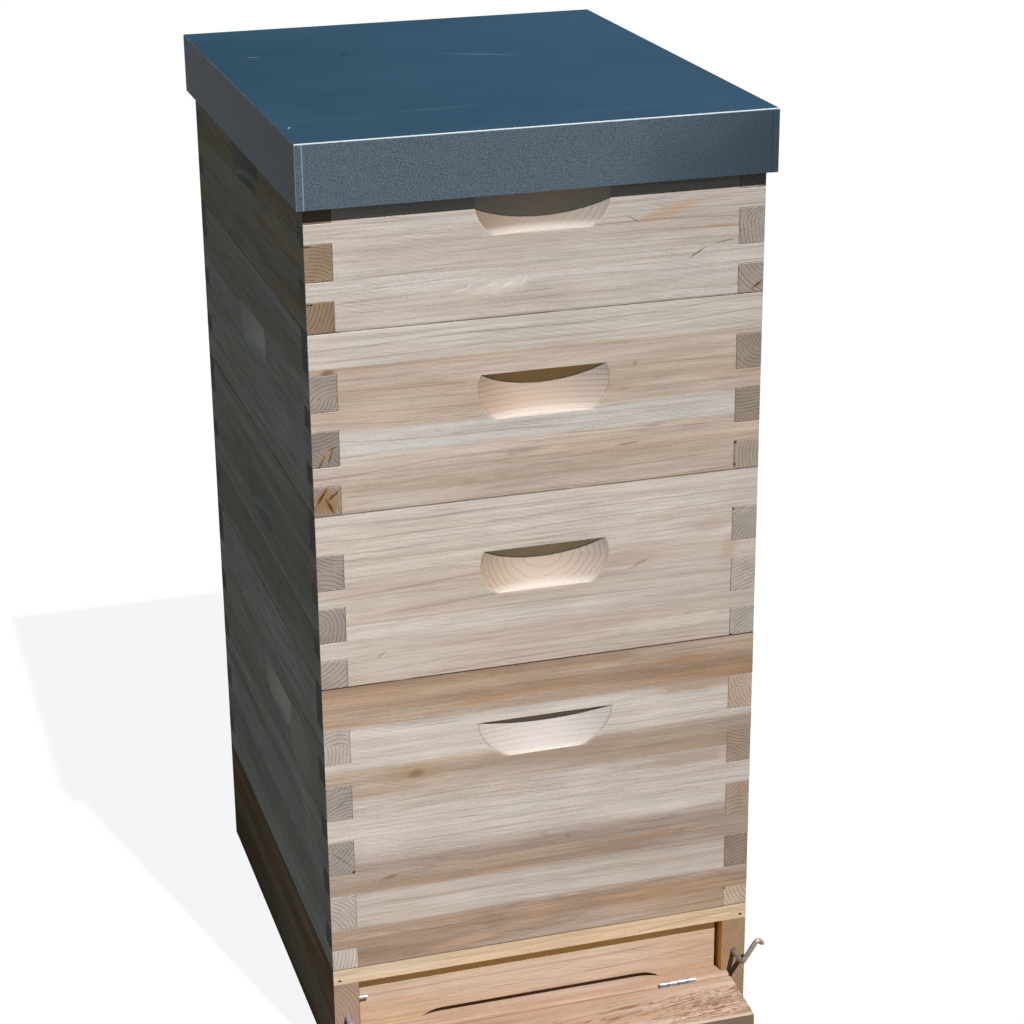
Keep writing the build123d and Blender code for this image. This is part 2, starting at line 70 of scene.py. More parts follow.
class Graph:
    """Adds linked shader nodes to one new material."""

    def __init__(self, name):
        self.material = bpy.data.materials.new(name)
        self.material.use_nodes = True
        self.tree = self.material.node_tree
        self.shader = self.tree.nodes["Principled BSDF"]
        self.coordinates = self.tree.nodes.new("ShaderNodeTexCoord")
        self.place = self.coordinates.outputs["Object"]

    def feed(self, socket, value):
        if isinstance(value, bpy.types.NodeSocket):
            self.tree.links.new(value, socket)
        else:
            socket.default_value = value

    def surface(self, **values):
        """Sets or links inputs of the main shader; underscores stand for spaces."""
        for name, value in values.items():
            self.feed(self.shader.inputs[name.replace("_", " ")], value)

    def axes(self, source="Object"):
        split = self.tree.nodes.new("ShaderNodeSeparateXYZ")
        self.feed(split.inputs[0], self.coordinates.outputs[source])
        return tuple(split.outputs)

    def channels(self, colour):
        split = self.tree.nodes.new("ShaderNodeSeparateColor")
        self.feed(split.inputs[0], colour)
        return tuple(split.outputs)

    def vector(self, x, y, z):
        join = self.tree.nodes.new("ShaderNodeCombineXYZ")
        for socket, value in zip(join.inputs, (x, y, z)):
            self.feed(socket, value)
        return join.outputs[0]

    def math(self, operation, first, second=0.0, third=0.0):
        node = self.tree.nodes.new("ShaderNodeMath")
        node.operation = operation
        for socket, value in zip(node.inputs, (first, second, third)):
            self.feed(socket, value)
        return node.outputs[0]

    def product(self, first, *others):
        for other in others:
            first = self.math("MULTIPLY", first, other)
        return first

    def about(self, value, amount):
        """A 0 to 1 value turned into a swing of that amount about zero."""
        return self.math("MULTIPLY_ADD", value, amount, -amount / 2)

    def rise(self, value, low, high):
        """0 at low, 1 at high, smooth between; low may lie above high."""
        node = self.tree.nodes.new("ShaderNodeMapRange")
        node.interpolation_type = "SMOOTHSTEP"
        falling = low > high
        self.feed(node.inputs["Value"], value)
        self.feed(node.inputs["From Min"], min(low, high))
        self.feed(node.inputs["From Max"], max(low, high))
        self.feed(node.inputs["To Min"], 1.0 if falling else 0.0)
        self.feed(node.inputs["To Max"], 0.0 if falling else 1.0)
        return node.outputs["Result"]

    def hump(self, value, start, full, fall, stop):
        """0 at start, 1 from full to fall and 0 again at stop, smooth between."""
        return self.product(self.rise(value, start, full), self.rise(value, stop, fall))

    def noise(self, place, scale=1.0, detail=2.0, roughness=0.5):
        node = self.tree.nodes.new("ShaderNodeTexNoise")
        self.feed(node.inputs["Vector"], place)
        self.feed(node.inputs["Scale"], scale)
        self.feed(node.inputs["Detail"], detail)
        self.feed(node.inputs["Roughness"], roughness)
        return node.outputs["Fac"]

    def ramp(self, value, stops, interpolation="LINEAR"):
        """Colour by value; stops are (position, colour) pairs in rising order."""
        node = self.tree.nodes.new("ShaderNodeValToRGB")
        node.color_ramp.interpolation = interpolation
        elements = node.color_ramp.elements
        while len(elements) < len(stops):
            elements.new(1.0)
        while len(elements) > len(stops):
            elements.remove(elements[-1])
        for element, (position, colour) in zip(elements, stops):
            element.position = position
            element.color = colour
        self.feed(node.inputs["Fac"], value)
        return node.outputs["Color"]

    def mix(self, factor, first, second, blend="MIX"):
        node = self.tree.nodes.new("ShaderNodeMix")
        node.data_type = "RGBA"
        node.blend_type = blend
        colours = [socket for socket in node.inputs if socket.type == "RGBA"]
        self.feed(node.inputs["Factor"], factor)
        self.feed(colours[0], first)
        self.feed(colours[1], second)
        return [socket for socket in node.outputs if socket.type == "RGBA"][0]

    def shaded(self, colour, shade):
        return self.mix(1.0, colour, self.vector(shade, shade, shade), "MULTIPLY")

    def bump(self, height, strength, distance):
        node = self.tree.nodes.new("ShaderNodeBump")
        self.feed(node.inputs["Height"], height)
        self.feed(node.inputs["Strength"], strength)
        self.feed(node.inputs["Distance"], distance)
        self.feed(self.shader.inputs["Normal"], node.outputs["Normal"])

    def spot(self, mark, across, up, roughening):
        """How strongly a mark shows at a point; across and up are the two coordinates of its plane."""
        away = self.math("SUBTRACT", across, mark.along * MM)
        above = self.math("SUBTRACT", up, mark.height * MM)
        turn_cos = cos(radians(mark.slope))
        turn_sin = sin(radians(mark.slope))
        run = self.math("MULTIPLY_ADD", away, turn_cos, self.math("MULTIPLY", above, turn_sin))
        off = self.math("MULTIPLY_ADD", above, turn_cos, self.math("MULTIPLY", away, -turn_sin))
        run = self.math("DIVIDE", run, mark.length * MM)
        off = self.math("DIVIDE", off, mark.width * MM)
        reach = self.math("SQRT", self.math("MULTIPLY_ADD", run, run, self.math("MULTIPLY", off, off)))
        reach = self.math("ADD", reach, roughening)
        return self.math("MULTIPLY", self.rise(reach, 1.0, 0.2), mark.strength)


# A panel is where a board sits: bottom, height, outer face and the direction from that face into the wood.
Panel = namedtuple("Panel", "floor height face inward")

# A stave is one edge-glued board: its top edge, how softly it ends and the height of its pith, all above the
# bottom of the panel in millimetres, its two colours, and how strong its streaks are.
Stave = namedtuple("Stave", "top soft pith pale dark streaks")

# A mark is a knot, stain, crack, scratch or resin line: its middle, half length and half width in
# millimetres, its slope in degrees, its colour and how strongly it shows.
Mark = namedtuple("Mark", "along height length width slope colour strength")

# A scoop is the freshly cut wood of a hand grip: its two colours, its colour painted where the lip's shadow
# falls (painted bounce light, and on the left sides painted shade), the share of its rings that shows as
# contours, and the share that shows as straight lines. Where an edge above the grip throws its shadow into
# it, the last value is the height on the face where that shadow ends; the painted colour starts there.
Scoop = namedtuple("Scoop", "pale dark sheltered contours lines shelter", defaults=(None,))

dirt_colour = paint(74, 54, 42)
edge_colour = paint(114, 98, 82)
torn_colour = paint(122, 82, 58)
worn_colour = paint(188, 172, 154)
hairline_colour = paint(136, 112, 92)
bleached_colour = paint(208, 201, 194)
warm_colour = paint(186, 148, 110)
# Painted highlight on the upturned sole of a grip
sole_highlight = paint(212, 204, 196)
grey_ends = (paint(171, 159, 149), paint(90, 76, 66))
# Painted bounce light: gold on the entrance block where the rail's shadow falls
under_rail_bounce = paint(250, 208, 140)
# Greyer right end of a grip, partly painted shade
scoop_grey = paint(176, 168, 162)

# Distances between rings on faces, on ends and in scoops, and between saw marks, in millimetres
face_ring = 11.0
cut_ring = 3.6
scoop_ring = 1.7
saw_pitch = 2.1

# Lowest height of a pith in metres, and how far behind the front of the boxes marks reach, in millimetres
pith_floor = -0.5
mark_depth = 14.0

# How far down the key light's shadow reaches under an overhang, for each unit of its depth; it places the
# painted light and shade under the lips and under the rail
overhang_slope = 1.32

# The fronts are painted darker to the right, as painted shade: the loss of brightness for each metre, and how
# far to the left of the middle it is nil, in metres
front_shade_gradient = 0.38
shade_gradient_middle = 0.04


class Wood(Graph):
    """Weathered wood cut from solid boards: growth rings round a pith, so that faces and ends agree."""

    def __init__(self, name, grain, panel, staves):
        super().__init__(name)
        self.panel = panel
        self.staves = staves
        self.x, self.y, self.z = self.axes()
        normal_x, self.normal_y, self.normal_z = self.axes("Normal")
        self.along, self.across = (self.x, self.y) if grain == "x" else (self.y, self.x)
        self.normal_along = normal_x if grain == "x" else self.normal_y
        self.level = self.math("SUBTRACT", self.z, panel.floor)
        self.depth = self.math("MULTIPLY", self.math("SUBTRACT", self.across, panel.face), panel.inward)
        self.share = self.math("DIVIDE", self.level, panel.height)
        self.set_staves()
        self.grow_rings()
        self.draw_grain()

    def by_stave(self, place, values):
        """Colour that fades from stave to stave over the soft edges."""
        stops = []
        bottom = 0.0
        for stave, value in zip(self.staves, values):
            half_soft = stave.soft * MM / self.panel.height / 2
            top = stave.top * MM / self.panel.height
            stops.append((bottom, value))
            stops.append((top - half_soft, value))
            bottom = top + half_soft
        return self.ramp(place, stops[:-1])

    def set_staves(self):
        """Reads the colours, streaks and pith of each stave, and gives each a noise of its own."""
        edge_place = self.vector(self.math("MULTIPLY", self.along, 5.0), self.panel.floor, self.panel.face)
        edge_shift = self.about(self.noise(edge_place), 6 * MM)
        soft_share = self.math("DIVIDE", self.math("ADD", self.level, edge_shift), self.panel.height)
        self.pale = self.by_stave(soft_share, [stave.pale for stave in self.staves])
        self.dark = self.by_stave(soft_share, [stave.dark for stave in self.staves])
        bottoms = [0.0] + [stave.top * MM / self.panel.height for stave in self.staves[:-1]]
        settings = [
            (stave.streaks, (index * 0.37 + 0.13) % 1.0, stave.pith * MM - pith_floor, 1.0)
            for index, stave in enumerate(self.staves)
        ]
        setting = self.ramp(self.share, list(zip(bottoms, settings)), "CONSTANT")
        self.streaks, self.seed, self.pith = self.channels(setting)[:3]
        panel_shift = self.panel.floor * 31.0 + self.panel.face * 7.0
        self.shift = self.math("MULTIPLY_ADD", self.seed, 17.0, panel_shift)

    def stretched(self, along_scale, across_scale):
        """Place for a noise that is drawn out along the grain."""
        return self.vector(
            self.math("MULTIPLY_ADD", self.along, along_scale, self.shift),
            self.math("MULTIPLY_ADD", self.across, across_scale, self.shift),
            self.math("MULTIPLY_ADD", self.level, across_scale, self.shift),
        )

    def cover(self, share, colour):
        """Lays a colour over the one so far."""
        self.colour = self.mix(share, self.colour, colour)

    def grow_rings(self):
        """Growth rings: wide apart where the face runs along them, close on the ends."""
        wander = self.about(self.noise(self.stretched(2.0, 7.0), 1.0, 1.0), 46 * MM)
        ripple = self.about(self.noise(self.stretched(10.0, 26.0)), 5 * MM)
        tilt = self.math("MULTIPLY", self.along, self.about(self.seed, 0.08))
        above_pith = self.math("ADD", self.math("SUBTRACT", self.level, self.pith), -pith_floor)
        for bend in (wander, ripple, tilt):
            above_pith = self.math("ADD", above_pith, bend)
        behind_pith = self.math("SUBTRACT", self.depth, self.about(self.seed, 80 * MM))
        squares = self.math("MULTIPLY", behind_pith, behind_pith)
        radius = self.math("SQRT", self.math("MULTIPLY_ADD", above_pith, above_pith, squares))
        wide = self.math("FRACT", self.math("DIVIDE", radius, face_ring * MM))
        close = self.math("FRACT", self.math("DIVIDE", radius, cut_ring * MM))
        shown = self.rise(self.noise(self.stretched(3.0, 30.0)), 0.36, 0.6)
        self.ring_line = self.product(self.hump(wide, 0.84, 0.95, 0.965, 1.0), shown)
        self.late_wood = self.hump(close, 0.6, 0.92, 0.94, 1.0)

    def draw_grain(self):
        """Faces of the boards: streaks, long lines, fibres and a fine nap along the grain."""
        self.streak = self.rise(self.noise(self.stretched(1.3, 24.0), 1.0, 1.5), 0.38, 0.68)
        bleach = self.rise(self.noise(self.stretched(2.2, 38.0), 1.3, 1.5), 0.46, 0.72)
        vein = self.rise(self.noise(self.stretched(1.9, 90.0), 1.0, 2.0, 0.6), 0.42, 0.7)
        warm_vein = self.rise(self.noise(self.stretched(1.6, 64.0), 1.4, 2.0, 0.6), 0.5, 0.74)
        long_line = self.rise(self.noise(self.stretched(2.6, 330.0), 1.0, 1.0), 0.55, 0.74)
        figure = self.noise(self.stretched(4.0, 34.0), 1.0, 3.0, 0.55)
        figure_line = self.rise(self.math("ABSOLUTE", self.math("SUBTRACT", figure, 0.5)), 0.022, 0.004)
        flame = self.rise(figure, 0.54, 0.66)
        lively = self.product(self.streaks, self.streaks)
        fibre = self.noise(self.stretched(14.0, 430.0), 1.0, 2.0, 0.7)
        self.nap = self.noise(self.stretched(560.0, 1100.0), 1.0, 1.0)
        dash = self.rise(self.noise(self.stretched(20.0, 560.0), 1.0, 1.0), 0.68, 0.78)
        self.mottle = self.noise(self.place, 16.0, 3.0, 0.55)
        knife_turn = self.math("MULTIPLY_ADD", self.along, 420.0, self.math("MULTIPLY", self.level, 1500.0))
        planed = self.rise(self.noise(self.stretched(14.0, 30.0)), 0.45, 0.7)
        planed = self.product(self.math("SINE", knife_turn), planed, 0.05)

        self.colour = self.pale
        self.cover(self.product(self.streak, self.streaks), self.dark)
        self.cover(self.product(vein, self.streaks, 0.55), self.dark)
        self.cover(self.product(warm_vein, self.streaks, 0.4), warm_colour)
        self.cover(self.product(flame, lively, 0.5), warm_colour)
        self.cover(self.product(figure_line, lively, 0.45), hairline_colour)
        self.cover(self.math("MULTIPLY", bleach, 0.25), bleached_colour)
        self.cover(self.math("MULTIPLY", long_line, 0.24), hairline_colour)
        self.cover(self.math("MULTIPLY", self.ring_line, 0.36), hairline_colour)
        self.cover(self.math("MULTIPLY", dash, 0.35), hairline_colour)
        shade = self.math("MULTIPLY_ADD", self.nap, 0.34, 0.84)
        shade = self.product(shade, self.math("MULTIPLY_ADD", fibre, 0.7, 0.65))
        shade = self.product(shade, self.math("MULTIPLY_ADD", self.mottle, 0.2, 0.9))
        self.colour = self.shaded(self.colour, self.math("ADD", shade, planed))

        relief = self.math("MULTIPLY_ADD", self.ring_line, -0.5, self.math("MULTIPLY", self.nap, 0.8))
        self.relief = self.math("MULTIPLY_ADD", dash, -0.6, relief)

    def shade_to_right(self, loss):
        """Painted shade: darkens the board to the right, by that loss of brightness for each metre."""
        shade = self.math("MULTIPLY_ADD", self.along, -loss, 1.0 - loss * shade_gradient_middle)
        self.colour = self.shaded(self.colour, shade)

    def shred_rim(self, along_scale, across_scale, width):
        """Thin outlines of flat shreds that lie a little askew to the grain."""
        slanted = self.math("MULTIPLY_ADD", self.along, -0.16, self.y)
        shred_along = self.math("MULTIPLY", self.along, along_scale)
        shred_across = self.math("MULTIPLY", slanted, across_scale)
        shred = self.noise(self.vector(shred_along, shred_across, 0.0), 1.0, 1.5)
        from_rim = self.math("ABSOLUTE", self.math("SUBTRACT", shred, 0.5))
        return self.rise(from_rim, width, width * 0.3)

    def tear_grain(self):
        """Torn grain of a rough-sawn landing board, to the right, and its darker front under a rubbed,
        lighter corner.
        """
        from_edge = self.math("SUBTRACT", self.y, landing_front)
        band = self.hump(from_edge, 0.0, 12 * MM, 44 * MM, 56 * MM)
        patch = self.rise(self.noise(self.stretched(9.0, 40.0)), 0.36, 0.52)
        far_right = self.rise(self.along, 60 * MM, 150 * MM)
        right_half = self.rise(self.along, -60 * MM, 60 * MM)
        scales = self.product(self.shred_rim(62.0, 330.0, 0.055), far_right)
        furrow = self.product(self.shred_rim(17.0, 140.0, 0.03), patch, right_half)
        torn = self.product(self.math("MAXIMUM", scales, furrow), band)
        self.cover(self.math("MULTIPLY", torn, 0.8), torn_colour)
        self.relief = self.math("MULTIPLY_ADD", torn, -2.5, self.relief)
        front_corner = self.rise(from_edge, 6 * MM, 3 * MM)
        lighter_edge = self.math("MAXIMUM", self.rise(self.normal_y, -0.2, -0.5), front_corner)
        self.cover(self.math("MULTIPLY", lighter_edge, 0.7), worn_colour)
        self.cover(self.rise(self.normal_y, -0.8, -0.95), edge_colour)

    def cut_grip(self, grip, scoop):
        """Freshly cut wood inside a hand grip, with painted light and shade."""
        low, high, start, stop = (value * MM for value in grip)
        inside = self.hump(self.depth, 0.15 * MM, 0.6 * MM, 14 * MM, 16 * MM)
        for value, least, most in ((self.along, start, stop), (self.level, low, high)):
            inside = self.product(
                inside, self.math("GREATER_THAN", value, least), self.math("LESS_THAN", value, most)
            )
        middle = (start + stop) / 2
        # The ends of the scoop are darker and greyer, partly the wood's own tone and partly painted shade of
        # its curve
        near_start = self.rise(self.along, middle - 8 * MM, start + 6 * MM)
        near_stop = self.rise(self.along, middle + 8 * MM, stop - 6 * MM)
        fresh = self.mix(self.math("MULTIPLY", near_start, 0.7), scoop.pale, scoop.dark)
        fresh = self.mix(self.math("MULTIPLY", near_stop, 0.55), fresh, scoop_grey)
        fresh = self.mix(self.math("MULTIPLY", self.streak, 0.25), fresh, scoop.dark)
        near_end = self.math("MAXIMUM", near_start, near_stop)
        cut_shift = self.about(self.noise(self.stretched(9.0, 40.0)), 4 * MM)
        cut_lines = ((self.depth, scoop_ring, scoop.contours), (self.level, 3 * scoop_ring, scoop.lines))
        for away, pitch, strength in cut_lines:
            turn = self.math("FRACT", self.math("DIVIDE", self.math("ADD", away, cut_shift), pitch * MM))
            line = self.hump(turn, 0.68, 0.93, 0.95, 1.0)
            line = self.product(line, self.math("MULTIPLY_ADD", near_end, 0.35, 0.2), strength)
            fresh = self.mix(line, fresh, hairline_colour)
        # Painted highlight along the sole, where it faces up to the light
        near_sole = self.rise(self.level, low + 9 * MM, low + 2 * MM)
        fresh = self.mix(self.math("MULTIPLY", near_sole, 0.6), fresh, sole_highlight)
        fresh = self.shaded(fresh, self.math("MULTIPLY_ADD", self.nap, 0.24, 0.88))
        lip = self.hump(self.depth, 0.05 * MM, 0.3 * MM, 0.4 * MM, 0.9 * MM)
        fresh = self.mix(self.math("MULTIPLY", lip, 0.5), fresh, hairline_colour)
        # Painted light and shade where the lip's shadow falls, placed by the key light's slope
        under_lip = self.math("MULTIPLY_ADD", self.depth, overhang_slope, self.level)
        lowest = high if scoop.shelter is None else scoop.shelter * MM
        fresh = self.mix(self.rise(under_lip, lowest - 0.5 * MM, lowest + 1.5 * MM), fresh, scoop.sheltered)
        self.cover(inside, fresh)

    def cut_ends(self, ends, fingers):
        """End grain with saw marks, a shade for each finger, and the dark joint line at the inner edge."""
        pale_end, dark_end = ends
        ring_patch = self.rise(self.noise(self.stretched(90.0, 90.0)), 0.2, 0.6)
        end = self.mix(self.product(self.late_wood, ring_patch, 0.62), pale_end, dark_end)
        slant = self.math("ADD", self.depth, self.math("MULTIPLY", self.level, 0.8))
        slant = self.math("ADD", slant, self.about(self.noise(self.stretched(60.0, 60.0)), 6 * MM))
        hatch = self.rise(self.math("PINGPONG", slant, saw_pitch * MM / 2), 0.2 * MM, 1.0 * MM)
        end = self.mix(self.math("MULTIPLY", hatch, 0.32), end, dark_end)
        end_patch = self.rise(self.noise(self.stretched(40.0, 40.0)), 0.35, 0.75)
        end = self.mix(self.math("MULTIPLY", end_patch, 0.2), end, dark_end)
        pores = self.noise(self.place, 1100.0, 2.0, 0.6)
        end = self.shaded(end, self.math("MULTIPLY_ADD", pores, 0.7, 0.66))
        if fingers:
            steps = [(bottom * MM / self.panel.height, (tone, tone, tone, 1.0)) for bottom, tone in fingers]
            end = self.mix(1.0, end, self.ramp(self.share, steps, "CONSTANT"), "MULTIPLY")
        joint_line = self.rise(self.depth, board_thickness - 0.9 * MM, board_thickness - 0.2 * MM)
        end = self.mix(self.math("MULTIPLY", joint_line, 0.6), end, dirt_colour)
        self.cover(self.rise(self.math("ABSOLUTE", self.normal_along), 0.6, 0.85), end)

    def soil_seams(self, strength):
        """Dirt along the bottom and top edges, mostly on upright faces."""
        foot = self.rise(self.level, 2.0 * MM, 0.7 * MM)
        rim = self.rise(self.level, self.panel.height - 0.9 * MM, self.panel.height - 0.1 * MM)
        upright = self.rise(self.math("ABSOLUTE", self.normal_z), 0.99, 0.9)
        dirt = self.math("MAXIMUM", foot, self.math("MULTIPLY", rim, 0.5))
        dirt = self.product(dirt, self.rise(self.mottle, 0.2, 0.42), strength)
        self.cover(self.product(dirt, self.math("MULTIPLY_ADD", upright, 0.8, 0.2)), dirt_colour)

    def add_marks(self, marks, lying):
        """Single marks near the front of the hive; on a lying board their heights are places along Y."""
        roughening = self.about(self.noise(self.stretched(60.0, 260.0)), 0.9)
        near_front = self.math("LESS_THAN", self.y, front_face + mark_depth * MM)
        for mark in marks:
            spot = self.spot(mark, self.x, self.y if lying else self.level, roughening)
            self.cover(self.product(spot, near_front), mark.colour)


def wood(name, grain, panel, staves, marks=(), grip=None, scoop=None, ends=grey_ends, seam=0.5,
         sawn=False, inner_bounce=None, sheltered=None, fingers=(), shade_gradient=0.0):
    """Material of one panel or board, from the bare grain to the cuts, painted light and shade, dirt and
    marks.
    """
    board = Wood(name, grain, panel, staves)
    if shade_gradient:
        board.shade_to_right(shade_gradient)
    if sawn:
        board.tear_grain()
    if grip:
        board.cut_grip(grip, scoop)
    board.cut_ends(ends, fingers)
    # Painted bounce light on the inner face, which stays in shade
    if inner_bounce:
        inner = board.rise(board.depth, board_thickness - 0.4 * MM, board_thickness - 0.1 * MM)
        board.cover(inner, inner_bounce)
    # Painted bounce light: gold from that height up, where an overhang's shadow falls
    if sheltered:
        board.cover(board.rise(board.z, sheltered - 1 * MM, sheltered + 1 * MM), under_rail_bounce)
    board.soil_seams(seam)
    board.add_marks(marks, sawn)
    board.bump(board.relief, 0.3, 0.5 * MM)
    board.surface(Base_Color=board.colour, Roughness=0.75, Specular_IOR_Level=0.0)
    return board.material


# How the meshes are finished: the gap in millimetres that is welded, the angle up to which faces count as
# one flat, the angle from which an edge is rounded, and the angle from which an unrounded piece has an edge
weld_gap = 0.004
flat_angle = radians(0.4)
round_angle = radians(14)
edge_angle = radians(32)

# Radius of the rounded edges, in millimetres
board_round = 0.6
bar_round = 0.4
tray_round = 0.2
unrounded = 0.0


def dress(node, material, bevel=board_round):
    """Gives a node its material, joins its faces, and rounds its edges by that many millimetres."""
    piece = nodes[node]
    mesh = piece.data
    mesh.materials.clear()
    mesh.materials.append(material)
    if mesh.has_custom_normals:
        mesh.attributes.remove(mesh.attributes["custom_normal"])
    mesh.shade_smooth()
    if "sharp_edge" in mesh.attributes:
        mesh.attributes.remove(mesh.attributes["sharp_edge"])
    weld = piece.modifiers.new("weld", "WELD")
    weld.merge_threshold = weld_gap * MM
    if bevel:
        flats = piece.modifiers.new("flats", "DECIMATE")
        flats.decimate_type = "DISSOLVE"
        flats.angle_limit = flat_angle
        rounding = piece.modifiers.new("rounding", "BEVEL")
        rounding.width = bevel * MM
        rounding.segments = 2
        rounding.limit_method = "ANGLE"
        rounding.angle_limit = round_angle
        rounding.harden_normals = True
    else:
        edges = piece.modifiers.new("edges", "EDGE_SPLIT")
        edges.split_angle = edge_angle


# Boxes
# Scoop colours. Under the lips the pale yellows and golds are painted bounce light, and the browns of the
# left sides painted shade; the top front scoop is painted lighter in the roof's shadow. The left scoops of
# the brood box and the second super are painted paler than fresh wood, as painted light from the sky, and the
# top left one duller, as painted shade.
bounce_straw = paint(250, 226, 188)
aged_scoop = Scoop(paint(212, 202, 192), paint(176, 160, 146), bounce_straw, 0.5, 0.0)
scoops = {
    "brood_front": Scoop(paint(208, 198, 191), paint(196, 182, 170), paint(226, 198, 168), 0.0, 0.7),
    "super_1_front": Scoop(paint(200, 183, 168), paint(168, 143, 122), bounce_straw, 1.0, 0.0),
    "super_2_front": Scoop(paint(194, 176, 160), paint(168, 137, 114), paint(246, 206, 144), 0.0, 1.0),
    "super_3_front": Scoop(paint(155, 143, 131), paint(138, 113, 92), paint(226, 206, 184), 1.0, 0.0, 100.2),
    "brood_left": Scoop(paint(255, 234, 218), paint(250, 228, 210), paint(92, 78, 66), 0.2, 0.0),
    "super_1_left": Scoop(paint(198, 182, 170), paint(134, 116, 102), paint(92, 78, 66), 0.5, 0.0),
    "super_2_left": Scoop(paint(255, 238, 226), paint(208, 192, 180), paint(104, 90, 78), 0.5, 0.0),
    "super_3_left": Scoop(paint(160, 146, 130), paint(130, 112, 94), paint(84, 74, 64), 0.5, 0.0),
}
golden_ends = (paint(161, 138, 114), paint(82, 62, 44))
brown_ends = (paint(176, 161, 145), paint(93, 78, 64))
pale_ends = (paint(207, 194, 184), paint(104, 92, 81))
tan_box_ends = (paint(196, 175, 155), paint(108, 88, 72))
pale_grey_ends = (paint(182, 169, 159), paint(96, 81, 70))
cool_ends = (paint(187, 176, 166), paint(98, 84, 73))
resin = paint(86, 44, 18)
crack = paint(46, 30, 22)

front_staves = {
    "brood": [
        Stave(44, 6, -60, paint(170, 148, 131), paint(132, 107, 88), 0.9),
        Stave(78, 10, 30, paint(189, 176, 165), paint(166, 147, 132), 0.35),
        Stave(116, 14, 150, paint(163, 146, 132), paint(130, 108, 92), 0.8),
        Stave(180, 8, 60, paint(195, 185, 176), paint(172, 155, 140), 0.35),
        Stave(212, 10, 190, paint(176, 158, 141), paint(148, 126, 108), 0.6),
        Stave(254, 6, 330, paint(202, 192, 183), paint(174, 155, 137), 0.3),
        Stave(297, 2, 180, paint(174, 154, 137), paint(144, 114, 88), 0.8),
    ],
    "super_1": [
        Stave(103, 10, 84, paint(195, 184, 173), paint(168, 145, 124), 0.4),
        Stave(170, 2, 260, paint(207, 199, 191), paint(182, 162, 143), 0.45),
    ],
    "super_2": [
        Stave(55, 3, 120, paint(195, 179, 165), paint(162, 141, 122), 0.6),
        Stave(77.5, 4, -40, paint(198, 193, 187), paint(176, 165, 152), 0.25),
        Stave(138, 2, 210, paint(190, 173, 158), paint(162, 136, 113), 0.55),
        Stave(170, 2, 60, paint(198, 189, 180), paint(174, 158, 143), 0.35),
    ],
    "super_3": [
        Stave(49.5, 3, 110, paint(196, 187, 179), paint(172, 156, 141), 0.4),
        Stave(170, 2, 20, paint(193, 184, 176), paint(172, 154, 138), 0.45),
    ],
}
fleck = paint(230, 222, 212)
